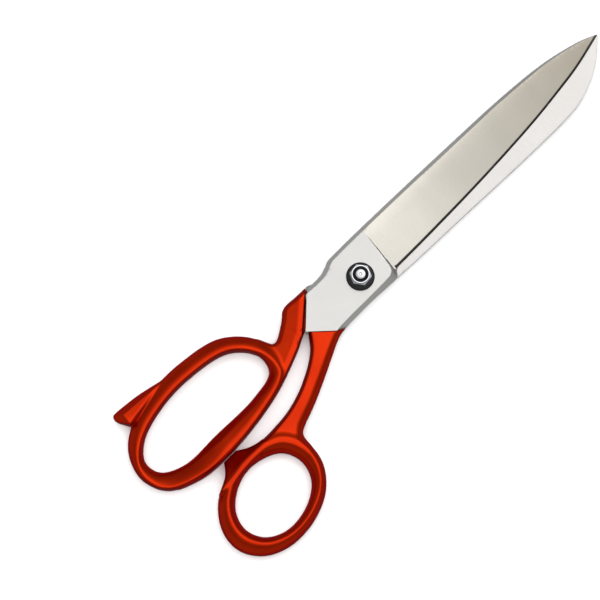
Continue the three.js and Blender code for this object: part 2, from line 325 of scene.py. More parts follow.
# The stems reach from the crossing into the bows
THUMB_OUTER = [(8.8, -13), (9.2, -18.5), (10, -21.5), (13, -27.9), (16.6, -35.5), (20, -43.2), (22.4, -49.8)]
THUMB_SHOULDER = [(23.7, -52.8), (25.6, -54.5), (29, -55.6)]
THUMB_INNER = [(16.2, -67), (15.8, -60), (15.3, -53.5), (14, -47.5), (12, -42), (9, -36), (5.8, -31.4),
               (2.4, -28.4)]
THUMB_STEM = run([(9.4, -8), *THUMB_OUTER], [THUMB_OUTER[-1], *THUMB_SHOULDER],
                 [(29, -55.6), (30, -58.5), (24, -60.8), (19.8, -66), (18.6, -76), (16.4, -76)],
                 [(16.4, -76), *THUMB_INNER, (-3, -24.5)])
FINGER_OUTER = [(-11.6, -20), (-11.8, -26.8), (-9, -30.8), (-6.2, -35.2), (-5.3, -37.2)]
FINGER_INNER = [(11.1, -76), (10.4, -65), (9.3, -56.5), (7.5, -48), (4.8, -40), (2.3, -33.6), (0.4, -29.8)]
FINGER_STEM = run([(-11.4, -12), *FINGER_OUTER],
                  [(-5.3, -37.2), (-5.5, -38.6), (-7.0, -39.8), (-9.6, -41.4), (-10.4, -43.5)],
                  [(-10.4, -43.5), (-5, -44), (2, -46.5), (5, -52), (6, -66), (6, -80), (3.5, -95)],
                  [(3.5, -95), (6.8, -98)], [(6.8, -98), (10.3, -89), (11.1, -76)],
                  [*FINGER_INNER, (-0.6, -27.4)])

# Two small forms on the bows: the lug that stops the bows as they close, and the finger rest
LUG = run([(18.5, -66), (16, -66)], [(16, -66), (15.3, -68.6), (13.8, -72), (11.7, -74.9)],
          [(11.7, -74.9), (11.7, -80.9)],
          [(11.7, -80.9), (13.2, -81.8), (15.6, -84.0), (17.3, -86.6), (19, -90)], [(19, -90), (19.6, -86)])
HORN_SIDE = [(-23.4, -72), (-25.6, -80.5), (-26.9, -87), (-27.8, -95)]
HORN = run([(-21.2, -71), (-23.4, -72)], HORN_SIDE,
           [(-27.8, -95), (-27.6, -96.6), (-26.3, -97.4), (-24.4, -97)],
           [(-24.4, -97), (-20.6, -94.6)], [(-20.6, -94.6), (-19, -86), (-20, -76)])


def trim_crossing(block, field, enamel_edge, side):
    """Takes away the ricasso's own steel and the room of the other half. The lines are drawn for the
    upper half, and a side of -1 turns them over for the lower one."""
    x, up = side * block.x, side * block.up
    across = reach(run(enamel_edge, step=2), x, block.y)
    free = reach(run(FREE_EDGE, step=2), x, block.y)
    steel = np.minimum(across, free) + 0.03
    own = np.minimum(steel[..., None], up + GAP)
    past = reach(run(SHOULDER, step=2), x, block.y)
    other = np.minimum(past[..., None], GAP - up)
    return soft_max(soft_max(field, own, 0.12), other, 0.25)


def thumb_shank(block):
    """The stem of the thumb handle: a crowned top, round on its outer side and bevelled on its inner one."""
    right = smooth([(9.5, -2), *THUMB_OUTER, *THUMB_SHOULDER, (36, -55.8)])[::-1]
    left = smooth([(16.6, -80), *THUMB_INNER, (-3, -25)])[::-1]
    inner = smooth([(17.8, -80), (17.5, -67), (17.1, -60), (16.4, -53.3), (15, -47.2), (12.9, -41.5),
                    (9.8, -35.5), (6.5, -30.8), (3, -27.7), (-2.2, -24)])[::-1]
    rise = 4.0 + 0.65 * ease(-block.y, 34, 56)
    shank = block.top(rise + block.crown(left, right, 0.28) * ease(-block.y, 19, 30))
    shank = soft_max(shank, block.rounded(right, 3.2, foot_height=0.9, crest_height=4.15), 0.3)
    shank = soft_max(shank, block.slope(left, inner, foot_height=0.6, crest_height=4.0), 0.45)
    to_hole = -depth(THUMB_HOLE, block.x, block.y)
    shank = soft_max(shank, block.wall(to_hole - 4.2), 1.0)
    return soft_max(shank, block.wall(depth(THUMB_STEM, block.x, block.y)), 0.3)


def closing_lug(block):
    """The small stop on the thumb bow that meets the finger bow."""
    low_side = np.array([(11.7, -60), (11.7, -100)])
    high_side = np.array([(17.0, -60), (17.0, -100)])
    lug = block.slope(low_side, high_side, foot_height=0.6, crest_height=4.2)
    return soft_max(lug, block.wall(depth(LUG, block.x, block.y)), 1.2)


def thumb_handle():
    block = Block((-1.5, 52), (-101.5, -12), (-1.2, 11.2))
    ring = block.ring(THUMB_BOW, THUMB_HOLE, ridge=(0.0, 0.87), lobe=1.7)
    body = soft_min(thumb_shank(block), ring, 2.0)
    body = soft_min(body, closing_lug(block), 1.0)
    body = soft_max(body, block.top(BOW_HALF - 0.02), 0.2)
    body = trim_crossing(block, body, ENAMEL_EDGE, side=1)
    thing = block.mesh("thumb_handle_enamelled", body)
    install(thing, "upper_half", "thumb_handle", [enamel_paint()])


def finger_shank(block):
    """The stem of the finger handle: highest along its right edge, and fading out over the bow."""
    right = smooth([(-27, 3.2), (-0.4, -28.2), *FINGER_INNER[::-1], (10.3, -89), (5, -101.6),
                    (0, -104.9)])[::-1]
    edge = offset_line(right, 0.45)
    crest = offset_line(right, 1.5 + 0.8 * ease(right[:, 1], -60, -35))
    left = smooth([(-16, -44.4), (-10, -41.6), (-7.0, -39.8), (-5.5, -38.6), *FINGER_OUTER[::-1],
                   (-11.4, -8)])[::-1]
    inner = offset_line(left, 1.35)
    past_crest = np.clip(-reach(crest[::-1], block.x, block.y), 0, 9)   # read from the other end
    shank = block.top(4.35 - 0.16 * past_crest - 2.0 * ease(-block.y, 74, 95))
    shank = soft_max(shank, block.slope(right, edge, foot_height=2.6, crest_height=4.2), 0.3)
    shank = soft_max(shank, block.slope(edge, crest, foot_height=4.25, crest_height=4.35), 0.1)
    shank = soft_max(shank, block.slope(left, inner, foot_height=0.7, crest_height=4.1), 0.6)
    to_hole = -depth(FINGER_HOLE, block.x, block.y)
    shank = soft_max(shank, block.wall(to_hole - 2.6), 0.5)
    return soft_max(shank, block.wall(depth(FINGER_STEM, block.x, block.y)), 0.3)


def finger_rest(block):
    """The horn on the finger bow: a flat top that climbs towards its end, with a bevel on each side."""
    side = run([(-19, -60), *HORN_SIDE, (-28.4, -106)])
    side_crest = run([(-20, -62), (-23.65, -76.2), (-25.3, -94.2), (-26.3, -106)])
    end, end_crest = np.array([(-30, -98.4), (-15, -96.4)]), np.array([(-30, -94.2), (-15, -95.0)])
    bow_crest = np.array([(-20.2, -101), (-21.1, -94.6), (-23.65, -76.2), (-24.9, -67)])
    bow_side = bow_crest + (2.4, 0)
    rise = 3.0 + 0.095 * np.clip(-76 - block.y, -4, 19) + 0.16 * np.clip(block.x + 24.5, -4, 4)
    horn = soft_max(block.top(rise), block.slope(side, side_crest, 1.4, rise), 0.3)
    horn = soft_max(horn, block.slope(end, end_crest, 1.2, rise), 0.4)
    horn = soft_max(horn, block.slope(bow_side, bow_crest, 1.8, rise), 0.6)
    return soft_max(horn, block.wall(depth(HORN, block.x, block.y)), 0.5)


def finger_handle():
    block = Block((-29.5, 13), (-107.5, -12), (-1.2, 11.2))
    right_side = ease(block.x, -3, 5)
    ridge = (2.6 + 0.8 * right_side, -1.2)
    ring = block.ring(FINGER_BOW, FINGER_HOLE, ridge, lobe=1.9 - 0.6 * right_side)
    body = soft_min(finger_shank(block), ring, 1.8)
    body = soft_min(body, finger_rest(block), 0.5)
    body = soft_max(body, block.top(BOW_HALF - 0.02), 0.2)
    body = trim_crossing(block, body, LOWER_ENAMEL_EDGE, side=-1)
    thing = block.mesh("finger_handle_enamelled", body)
    install(thing, "lower_half", "finger_handle", [enamel_paint()])


# ---------------------------------------------------------------- blades as faceted relief

def relief(name, rim, lines, top, under, spacing=2.0):
    """A plate inside the rim, with the pivot's bore through it, whose top and underside follow height
    functions. Its mesh has an edge along each of the lines."""
    angles = np.arange(48) / 48 * 2 * math.pi
    circle = BORE_RADIUS * np.stack([np.cos(angles), np.sin(angles)], axis=1)
    points, ties, base = [], [], 0
    for line, closed in [(rim, True), *((line, False) for line in lines), (circle, True)]:
        order = np.arange(base, base + len(line))
        ties.append(np.stack([order, np.roll(order, -1)], axis=1)[:len(line) if closed else -1])
        points.append(line)
        base += len(line)
    low, high = rim.min(axis=0), rim.max(axis=0)
    gx, gy = np.meshgrid(np.arange(low[0], high[0], spacing), np.arange(low[1], high[1], spacing))
    inner = np.stack([gx.ravel(), gy.ravel()], axis=1)
    points.append(inner[depth(rim, inner[:, 0], inner[:, 1]) > 0.5])
    flat = [Vector(point) for point in np.concatenate(points)]
    flat_ties = [(int(a), int(b)) for a, b in np.concatenate(ties)]
    verts, _, faces, *_ = delaunay_2d_cdt(flat, flat_ties, [], 0, 1e-4)
    verts = np.array([tuple(v) for v in verts])
    faces = np.array([tuple(f) for f in faces])
    middle = verts[faces].mean(axis=1)
    kept = within(rim, middle[:, 0], middle[:, 1]) & (np.hypot(*middle.T) > BORE_RADIUS * 0.999)
    used, faces = np.unique(faces[kept], return_inverse=True)
    faces = faces.reshape(-1, 3).tolist()
    verts = verts[used]
    x, y = verts.T
    count = len(verts)
    solid = np.concatenate([np.column_stack([verts, top(x, y)]), np.column_stack([verts, under(x, y)])])
    edges = {pair: True for a, b, c in faces for pair in ((a, b), (b, c), (c, a))}
    walls = [(b, a, a + count, b + count) for a, b in edges if (b, a) not in edges]
    underside = [(a + count, c + count, b + count) for a, b, c in faces]
    return make_object(name, solid * MM, faces + underside + walls)


# Each half's lines are drawn with its outer face up and its spine on -X. Both are ground and bevelled alike
# beside the cutting edge, where the ricasso ends.
HEEL = [(6.7, 12.4), (7.6, 10.9), (9, 9.8)]
HEEL_INNER = [(2.5, 10.45), (4.6, 10.1), (6.1, 9.5), (7.1, 8.2), (7.4, 6)]
UPPER = dict(
    spine=run([(-10.5, -40), (-10.5, -14)],
              [(-10.5, -14), (-10.6, -9.5), (-11.5, -6.3), (-12.4, -4.2), (-12.55, -2)],
              [(-12.55, -2), (-12.5, 8), (-11.9, 30), (-10.9, 58), (-9.9, 80), (-8, 100), (-4.6, 115),
               (-1.3, 123)]),
    spine_inner=smooth([(-9.6, -40), (-9.2, -18), (-8.9, -13), (-9.0, -9.5), (-9.5, -6.9), (-10.4, -4.9),
                        (-11.0, -2.8), (-11.1, 0), (-11.05, 8), (-10.5, 30), (-9.75, 52), (-9.15, 70),
                        (-8.75, 80), (-7.05, 100), (-4.0, 115), (-0.9, 122.6)]),
    edge=smooth([(-1.3, 123), (1.6, 110.5), (3.1, 100), (4.9, 82), (6.2, 56), (6.7, 30), (6.7, 12.4)]),
    right=run([*HEEL, (9.4, 8)], [(9.4, 8), (8.8, -3), (8.8, -13), (8.9, -15.8)]),
    right_inner=smooth([*HEEL_INNER, (7.4, -3), (7.35, -13), (7.6, -19.6), (8.4, -26)]),
    root=run([(-10.5, -16.05), CROTCH], [CROTCH, (7.6, -19.6)], [(7.6, -19.6), (8.9, -15.8)], step=1.0)[:-1])
LOWER = dict(
    spine=run([(-8.5, -40), (-8.5, -16)],
              [(-8.5, -16), (-8.5, -5), (-9.2, 9), (-9.8, 20), (-10.6, 42), (-11.7, 68), (-12.2, 88)],
              [(-12.2, 88), (-11.7, 99), (-9.4, 107.4), (-5.5, 115), (1, 123)]),
    spine_inner=smooth([(-7.1, -40), (-7.1, -16), (-7.1, -5), (-7.8, 9), (-8.4, 20), (-9.3, 42),
                        (-10.5, 68), (-11.1, 88), (-10.6, 98.6), (-8.4, 106.5), (-4.7, 114), (1.4, 122.4)]),
    edge=smooth([(1, 123), (3.8, 110.5), (5, 98), (6, 80), (6.6, 56), (6.75, 30), (6.7, 12.4)]),
    right=run([*HEEL, (9.3, 8)], [(9.3, 8), (9.2, -11.8)], [(9.2, -11.8), (11.3, -14.4), (11.7, -15.87)]),
    right_inner=smooth([*HEEL_INNER, (7.5, -3), (7.6, -11.8), (9.4, -15), (9.6, -18), (9.9, -26)]),
    root=run([(-8.5, -18.26), CROTCH], [CROTCH, (7.6, -19.6)], [(7.6, -19.6), (11.7, -15.87)], step=1.0)[:-1])

STEP_LINE = np.array([(-30, 15.4), (-9.2, 12.2), (4.5, 10.25), (30, 6.6)])
HEEL_CORNER = (2.5, 12.5)   # the ricasso's side bevel lies to the right of and below this point
EDGE_START = 11.2           # the cutting bevel begins here and runs to the tip
EDGE_BEVEL = 0.72           # width of the bevel along the cutting edge
EDGE_HEIGHT = MID + 0.12    # its lowest height, at the cutting edge
RIM_HEIGHT = 6.8            # where the ground bands begin on the outline
TIP = 123.0

# The ground face: how far it falls for each millimetre
FALL_ALONG = 0.0155         # towards the tip
FALL_ACROSS = 0.095         # towards the cutting edge, at the ricasso
EXTRA_FALL = 0.045          # more towards the cutting edge, from halfway to the tip
FALL_CURVE = 0.0006         # and more with the square of the distance from the land


def blade(name, spine, spine_inner, edge, right, right_inner, root):
    """One half's steel: flat ricasso, concave step, falling ground face, ground bands and cutting bevel."""

    def level(y):
        """Height of the ground face beside the spine."""
        return FLAT - FALL_ALONG * soft_max(y - 16, 0 * y, 6)

    def ground(x, y):
        """A flat land beside the spine, then a face that falls away a little faster towards the edge."""
        land = np.interp(y, spine_inner[:, 1], spine_inner[:, 0]) + 2.0 - 1.8 * ease(y, 0, 100)
        past = soft_max(x - land, 0 * x, 0.9)
        return level(y) - (FALL_ACROSS + EXTRA_FALL * ease(y, 12, 60)) * past - FALL_CURVE * past**2

    def face(x, y):
        """The ricasso's flat, a concave step down from it, and the ground face."""
        beyond = reach(STEP_LINE, x, y)
        low = ground(x, y)
        drop = np.maximum(FLAT - low, 0)
        foot = 0.25 + 0.38 * drop
        rest = np.clip(1 - beyond / foot, 0, 1)
        return np.where(beyond <= 0, FLAT, low + drop * rest**2.2)

    def part_way(outer, inner, x, y):
        """0 on the outer line of a band, 1 on its inner line."""
        at_outer = -reach(outer, x, y)
        at_inner = -reach(inner, x, y)
        return np.clip(at_outer / np.maximum(at_outer - at_inner, 0.05), -1, 3)

    def top(x, y):
        rim_height = RIM_HEIGHT - 0.65 * ease(y, 85, TIP)
        spine_band = rim_height + (level(y) - rim_height) * part_way(spine, spine_inner, x, y)
        surface = soft_min(face(x, y), spine_band, 0.12)
        side_band = RIM_HEIGHT + (FLAT - RIM_HEIGHT) * part_way(right, right_inner, x, y)
        beyond_step = RIM_HEIGHT + 3.2 * -reach(right, x, y)
        side_band = np.where(reach(STEP_LINE, x, y) < 0.1, side_band, beyond_step)
        side_band = np.where((x > HEEL_CORNER[0]) & (y < HEEL_CORNER[1]), side_band, FAR)
        surface = soft_min(surface, side_band, 0.12)
        climb = (np.minimum(ground(x, y), FLAT) - EDGE_HEIGHT) / EDGE_BEVEL
        honed = np.maximum(EDGE_HEIGHT - climb * reach(edge, x, y), EDGE_HEIGHT - 0.02)
        return np.where(y > EDGE_START, soft_min(surface, honed, 0.06), surface)

    def under(x, y):
        """The flat inner face, with a fine chamfer along the spine and a relief under the shank's corner."""
        from_spine = -reach(spine, x, y)
        corner = 1.3 * ease(x, 9.5, 11.7) * (y < 0)
        return MID + GAP + 0.07 * np.clip(1 - from_spine / 0.4, 0, 1) + corner

    enamel_end = spine[:, 1] > -15.9
    rim = np.concatenate([root, right[::-1], edge[::-1][1:], spine[enamel_end][::-1][1:]])
    lines = [offset_line(line, d) for line in (spine_inner, right_inner) for d in (-0.1, 0.0, 0.1)]
    lines += [offset_line(edge, -d) for d in (EDGE_BEVEL - 0.06, EDGE_BEVEL + 0.06)]
    lines += [offset_line(spine, -0.4)]
    lines += [offset_line(run(STEP_LINE, step=1.2), d) for d in (0.02, 0.15, 0.3, 0.5, 0.7, 0.95, 1.25)]
    thing = relief(name, rim, lines, top, under)
    dress_blade(thing, edge)
    return thing


def dress_blade(thing, edge):
    """Chooses the finish of each face, by its place among the blade's materials. The cutting bevel's finish
    is painted shade, coloured near black.
    """
    mesh = thing.data
    x, y, z = (np.array([tuple(p.center) for p in mesh.polygons]) / MM).T
    facing_up = np.array([p.normal.z for p in mesh.polygons])
    honed = (np.abs(reach(edge, x, y)) < EDGE_BEVEL) & (y > 11) & (facing_up > 0.05) & (facing_up < 0.96)
    inner = z < MID + 0.4
    band = (facing_up < 0.8) & ~honed & ~inner
    ground = (reach(STEP_LINE, x, y) > 0) & ~band & ~honed & ~inner
    index = np.zeros(len(x), int)
    for place, chosen in enumerate((ground, band, honed, inner), start=1):
        index[chosen] = place
    mesh.polygons.foreach_set("material_index", index)
    crisp(thing, 20)


def upper_blade():
    thing = blade("upper_blade_ground", **UPPER)
    install(thing, "upper_half", "upper_blade", blade_materials())


def lower_blade():
    """The lower half is made face up like the upper one, and turned over about the plane between them."""
    thing = blade("lower_blade_ground", **LOWER)
    turn = Matrix.Rotation(math.pi, 4, "Y")
    thing.data.transform(Matrix.Translation((0, 0, 2 * MID * MM)) @ turn)
    install(thing, "lower_half", "lower_blade", blade_materials())


# ---------------------------------------------------------------- pivot set, turned on a lathe

def turned(name, profile, segments=96, limit=None):
    """A closed ring of (radius, height) points turned about the pivot axis. A radius of zero closes on it,
    and limit holds the radius back by angle."""
    angles = np.arange(segments) / segments * 2 * math.pi
    verts, rows = [], []
    for radius, height in profile:
        if radius < 1e-6:
            rows.append([len(verts)] * segments)
            verts.append((0, 0, height))
            continue
        rows.append(list(range(len(verts), len(verts) + segments)))
        for angle in angles:
            r = min(radius, limit(angle)) if limit else radius
            verts.append((r * math.cos(angle), r * math.sin(angle), height))
    faces = []
    closed = profile[0][0] > 1e-6
    for k in range(len(rows) if closed else len(rows) - 1):
        low, high = rows[k], rows[(k + 1) % len(rows)]
        for i in range(segments):
            j = (i + 1) % segments
            ring = [low[i], low[j], high[j], high[i]]
            face = [v for n, v in enumerate(ring) if v != ring[n - 1]]
            if len(face) > 2:
                faces.append(face)
    return make_object(name, np.array(verts) * MM, faces)


def arc(centre, radius, start, end, count=6):
    """Points on an arc in the profile plane, angles in degrees."""
    return [(centre[0] + radius * math.cos(math.radians(a)), centre[1] + radius * math.sin(math.radians(a)))
            for a in np.linspace(start, end, count)]


def height_range(node):
    """The lowest and highest points of a node in millimetres."""
    low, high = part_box(node)
    return round(low[2] / MM, 3), round(high[2] / MM, 3)


SCREW_END = height_range("pivot_screw")[1]
SCREW_HEAD_RADIUS = 5.5
SCREW_SHANK_RADIUS = 3.0
SHOULDER_HEIGHT = 8.7
THREAD_RADIUS = 1.98
THREAD_ROOT = 1.66
THREAD_PITCH = 0.7
THREAD_START = 8.95
THREAD_TURNS = 8
SPANNER_HOLE_RADIUS = 0.6
SPANNER_HOLE_OFFSET = 3.4

WASHER_RADIUS = 5.1
WASHER_BORE = 2.3
WASHER_LIFT = 0.45       # how much the dished washer stands up in its middle

NUT_BASE, NUT_TOP = height_range("lock_nut")
NUT_FLATS = 7.0
NUT_CORNER = NUT_FLATS / math.sqrt(3)
NUT_TURN = math.radians(36)
NUT_BORE = 2.2
HEX_TOP = NUT_BASE + 3.3
CROWN_RADIUS = 3.25
CROWN_INSIDE = 2.82


def pivot_screw():
    head = [(0, 0.02), (5.0, 0.02), *arc((SCREW_HEAD_RADIUS - 0.35, 0.37), 0.35, -90, 0),
            (SCREW_HEAD_RADIUS, 0.8), (SCREW_HEAD_RADIUS - 0.08, 0.9)]
    shank = [(SCREW_SHANK_RADIUS, 0.9), (SCREW_SHANK_RADIUS, SHOULDER_HEIGHT - 0.1),
             (SCREW_SHANK_RADIUS - 0.1, SHOULDER_HEIGHT), (2.0, SHOULDER_HEIGHT)]
    thread = []
    for k in range(THREAD_TURNS):
        base = THREAD_START + THREAD_PITCH * k
        thread += [(THREAD_ROOT, base), (THREAD_RADIUS, base + 0.3), (THREAD_RADIUS, base + 0.4),
                   (THREAD_ROOT, base + THREAD_PITCH)]
    end = [(1.78, SCREW_END - 0.65), (1.78, SCREW_END - 0.2), *arc((1.6, SCREW_END - 0.2), 0.18, 0, 80, 4),
           (0.62, SCREW_END), (0.5, SCREW_END - 0.07), (0.2, SCREW_END - 0.09), (0, SCREW_END - 0.09)]
    thing = turned("pivot_screw_turned", head + shank + thread + end)
    for x in (-SPANNER_HOLE_OFFSET, SPANNER_HOLE_OFFSET):
        drill_hole(thing, x, SPANNER_HOLE_RADIUS)
    crisp(thing, 30)
    install(thing, "lower_half", "pivot_screw",
            [bright_metal("turned_steel", light=(0.60, 0.60, 0.61), dark=(0.52, 0.52, 0.53))])


def drill_hole(thing, x, radius):
    """A blind hole up into the screw's head, with a drill's shallow point."""
    drill = turned("drill", [(0, -1), (radius, -1), (radius, 0.55), (0, 0.75)], 32)
    drill.data.transform(Matrix.Translation((x * MM, 0, 0)))
    cut = thing.modifiers.new("hole", "BOOLEAN")
    cut.object = drill
    cut.solver = "EXACT"
    bpy.context.view_layer.update()
    mesh = bpy.data.meshes.new_from_object(thing.evaluated_get(bpy.context.evaluated_depsgraph_get()))
    thing.modifiers.clear()
    thing.data = mesh
    bpy.data.objects.remove(drill)


def spring_washer():
    low, high = FLAT + 0.03, FLAT + 0.6
    profile = [(WASHER_BORE, low + WASHER_LIFT), (WASHER_RADIUS - 0.7, low + 0.05),
               *arc((WASHER_RADIUS - 0.28, low + 0.3), 0.28, -80, 80, 8), (4.4, high + 0.2),
               (3.6, high + WASHER_LIFT), (WASHER_BORE + 0.2, high + WASHER_LIFT + 0.02),
               (WASHER_BORE, high + WASHER_LIFT - 0.1)]
    thing = turned("spring_washer_dished", profile)
    crisp(thing, 40)
    install(thing, "lower_half", "spring_washer", [oxide_metal()])


def hex_radius(angle):
    sector = (angle - NUT_TURN) % (math.pi / 3) - math.pi / 6
    return NUT_FLATS / 2 / math.cos(sector)


def lock_nut():
    """A hexagon with chamfered corners above and below, and a round crown that is rolled over the insert."""
    profile = [(NUT_BORE, NUT_BASE), (3.7, NUT_BASE)]
    profile += [(r, NUT_BASE + (r - 3.7) * 0.6) for r in np.linspace(3.75, NUT_CORNER, 8)]
    profile += [(r, HEX_TOP - 0.22 + (NUT_CORNER - r) * 0.3) for r in np.linspace(NUT_CORNER, 3.3, 14)]
    profile += [(CROWN_RADIUS, HEX_TOP + 0.1), (CROWN_RADIUS, NUT_TOP - 0.12),
                *arc((CROWN_RADIUS - 0.1, NUT_TOP - 0.1), 0.1, 0, 90, 5),
                (CROWN_INSIDE + 0.1, NUT_TOP - 0.02), (CROWN_INSIDE - 0.01, NUT_TOP - 0.12),
                (CROWN_INSIDE, NUT_TOP - 0.35), (CROWN_INSIDE, HEX_TOP - 0.4), (NUT_BORE, HEX_TOP - 0.4)]
    thing = turned("lock_nut_chamfered", profile, 144, limit=hex_radius)
    crisp(thing, 28)
    install(thing, "nut", "lock_nut", [bright_metal()])


def nylon_insert():
    base, top = NUT_BASE + 3.0, NUT_BASE + 4.5
    radius = CROWN_INSIDE - 0.02
    profile = [(1.86, base), (radius, base), (radius, top - 0.15),
               *arc((radius - 0.18, top - 0.18), 0.18, 0, 90, 5), (2.15, top + 0.02),
               *arc((2.04, top - 0.16), 0.18, 90, 180, 5)]
    thing = turned("nylon_insert_ring", profile)
    crisp(thing, 50)
    install(thing, "nut", "nylon_insert", [nylon_plastic()])


# ---------------------------------------------------------------- materials

class Nodes:
    """A new material and short ways to build its node tree."""

    def __init__(self, name):
        self.material = bpy.data.materials.new(name)
        self.material.use_nodes = True
        self.tree = self.material.node_tree
        self.shader = self.tree.nodes["Principled BSDF"]

    def add(self, kind, **settings):
        """A node. Each setting is an input socket's value or the node's own property."""
        node = self.tree.nodes.new(kind)
        for key, value in settings.items():
            if key in node.inputs:
                node.inputs[key].default_value = value
            else:
                setattr(node, key, value)
        return node

    def join(self, out, into):
        self.tree.links.new(out, into)

    def set(self, **values):
        """Constants on the shader's own sockets, with underscores for the spaces in their names."""
        for key, value in values.items():
            self.shader.inputs[key.replace("_", " ")].default_value = value

    def position(self, scale, turn=0.0):
        """Object coordinates in millimetres, turned about Z and stretched."""
        place = self.add("ShaderNodeTexCoord")
        spin = self.add("ShaderNodeMapping")
        spin.inputs["Rotation"].default_value = (0, 0, turn)
        stretch = self.add("ShaderNodeMapping")
        stretch.inputs["Scale"].default_value = tuple(s * 1000 for s in scale)
        self.join(place.outputs["Object"], spin.inputs["Vector"])
        self.join(spin.outputs["Vector"], stretch.inputs["Vector"])
        return stretch.outputs["Vector"]

    def noise(self, vector, scale=1.0, detail=3.0, roughness=0.5):
        node = self.add("ShaderNodeTexNoise", Scale=scale, Detail=detail, Roughness=roughness)
        self.join(vector, node.inputs["Vector"])
        return node.outputs["Fac"]

    def remap(self, value, low, high, start=0.3, end=0.7):
        """Stretches the range from start to end over the range from low to high."""
        node = self.add("ShaderNodeMapRange")
        for key, number in zip(("From Min", "From Max", "To Min", "To Max"), (start, end, low, high)):
            node.inputs[key].default_value = number
        self.join(value, node.inputs["Value"])
        return node.outputs["Result"]

    def blend(self, factor, first, second):
        node = self.add("ShaderNodeMix", data_type="RGBA")
        node.inputs[6].default_value = (*first, 1)
        node.inputs[7].default_value = (*second, 1)
        self.join(factor, node.inputs[0])
        return node.outputs[2]

    def bump(self, height, distance, strength=0.5):
        node = self.add("ShaderNodeBump", Strength=strength, Distance=distance * MM)
        self.join(height, node.inputs["Height"])
        return node.outputs["Normal"]


@cache
def ground_steel(name, light, dark, roughness, turn, painted_tip_shade=None):
    """Ground steel: fine scratches along one direction, over a faint cloud. The last argument, when given, is
    painted shade: it multiplies the colour towards the tip of the blade, darker there."""
    made = Nodes(name)
    lines = made.noise(made.position((14, 0.35, 14), turn), 1.0, 4.0, 0.65)
    cloud = made.noise(made.position((0.09, 0.05, 0.09), turn), 1.0, 3.0, 0.55)
    mixed = made.add("ShaderNodeMath", operation="MULTIPLY_ADD")
    mixed.inputs[1].default_value = 0.45
    made.join(lines, mixed.inputs[0])
    scaled = made.add("ShaderNodeMath", operation="MULTIPLY")
    scaled.inputs[1].default_value = 0.55
    made.join(cloud, scaled.inputs[0])
    made.join(scaled.outputs[0], mixed.inputs[2])
    tone = made.remap(mixed.outputs[0], 0, 1, 0.3, 0.7)
    colour = made.blend(tone, dark, light)
    # painted shade: the colour is darkened along Y towards the tip of the blade
    if painted_tip_shade:
        split = made.add("ShaderNodeSeparateXYZ")
        made.join(made.position((1, 1, 1)), split.inputs["Vector"])
        shade = made.blend(made.remap(split.outputs["Y"], 0, 1, 12, 115), (1, 1, 1), painted_tip_shade)
        toned = made.add("ShaderNodeMix", data_type="RGBA", blend_type="MULTIPLY")
        toned.inputs[0].default_value = 1.0
        made.join(colour, toned.inputs[6])
        made.join(shade, toned.inputs[7])
        colour = toned.outputs[2]
    made.join(colour, made.shader.inputs["Base Color"])
    made.join(made.remap(lines, roughness - 0.05, roughness + 0.05), made.shader.inputs["Roughness"])
    made.join(made.bump(lines, 0.012), made.shader.inputs["Normal"])
    made.set(Metallic=1.0)
    return made.material


def blade_materials():
    """The finishes of a blade, in the order that dress_blade counts them. The fourth is painted shade on the
    cutting bevel.
    """
    return [
        ground_steel("ricasso_steel", light=(0.56, 0.555, 0.54), dark=(0.50, 0.495, 0.48),
                     roughness=0.36, turn=math.radians(40)),
        # painted shade: the ground face is coloured darker towards the tip
        ground_steel("ground_face_steel", light=(0.555, 0.535, 0.485), dark=(0.495, 0.475, 0.43),
                     roughness=0.30, turn=math.radians(90), painted_tip_shade=(0.585, 0.555, 0.51)),
        ground_steel("band_steel", light=(0.64, 0.64, 0.62), dark=(0.56, 0.56, 0.54),
                     roughness=0.38, turn=0.0),
        # painted shade: the cutting bevel's steel is coloured near black for the dark it shows
        ground_steel("edge_bevel_painted_shade", light=(0.14, 0.125, 0.11), dark=(0.08, 0.07, 0.06),
                     roughness=0.34, turn=math.radians(60)),
        ground_steel("inner_face_steel", light=(0.50, 0.485, 0.47), dark=(0.46, 0.445, 0.43),
                     roughness=0.30, turn=math.radians(80)),
    ]


@cache
def enamel_paint():
    """Metallic enamel under a clear coat: fine flakes, slow colour drift and a little orange peel."""
    made = Nodes("copper_red_enamel")
    where = made.position((1, 1, 1))
    flakes = made.add("ShaderNodeTexVoronoi", Scale=9.0)
    made.join(where, flakes.inputs["Vector"])
    sparkle = made.add("ShaderNodeSeparateColor")
    made.join(flakes.outputs["Color"], sparkle.inputs["Color"])
    drift = made.noise(where, 0.09, 2.0)
    tone = made.add("ShaderNodeMath", operation="MULTIPLY_ADD")
    tone.inputs[1].default_value = 0.22
    made.join(sparkle.outputs["Red"], tone.inputs[0])
    made.join(made.remap(drift, 0.15, 0.75), tone.inputs[2])
    colour = made.blend(tone.outputs[0], (0.46, 0.015, 0.0003), (0.58, 0.026, 0.0004))
    made.join(colour, made.shader.inputs["Base Color"])
    made.join(made.remap(sparkle.outputs["Green"], 0.30, 0.40, 0, 1), made.shader.inputs["Roughness"])
    peel = made.noise(where, 1.3, 2.0)
    made.join(made.bump(peel, 0.012), made.shader.inputs["Normal"])
    made.set(Metallic=1.0, Coat_Weight=0.08, Coat_Roughness=0.15, Coat_IOR=1.45,
             Specular_Tint=(0.45, 0.20, 0.24, 1))
    return made.material


def bright_metal(name="bright_zinc_steel", light=(0.68, 0.69, 0.71), dark=(0.58, 0.59, 0.62)):
    """Smooth bright steel with faint rings from turning, close together in height."""
    made = Nodes(name)
    fine = made.noise(made.position((2, 2, 20)), 1.0, 3.0)
    made.join(made.blend(fine, dark, light), made.shader.inputs["Base Color"])
    made.join(made.remap(fine, 0.12, 0.24), made.shader.inputs["Roughness"])
    made.join(made.bump(fine, 0.01, strength=0.4), made.shader.inputs["Normal"])
    made.set(Metallic=1.0)
    return made.material


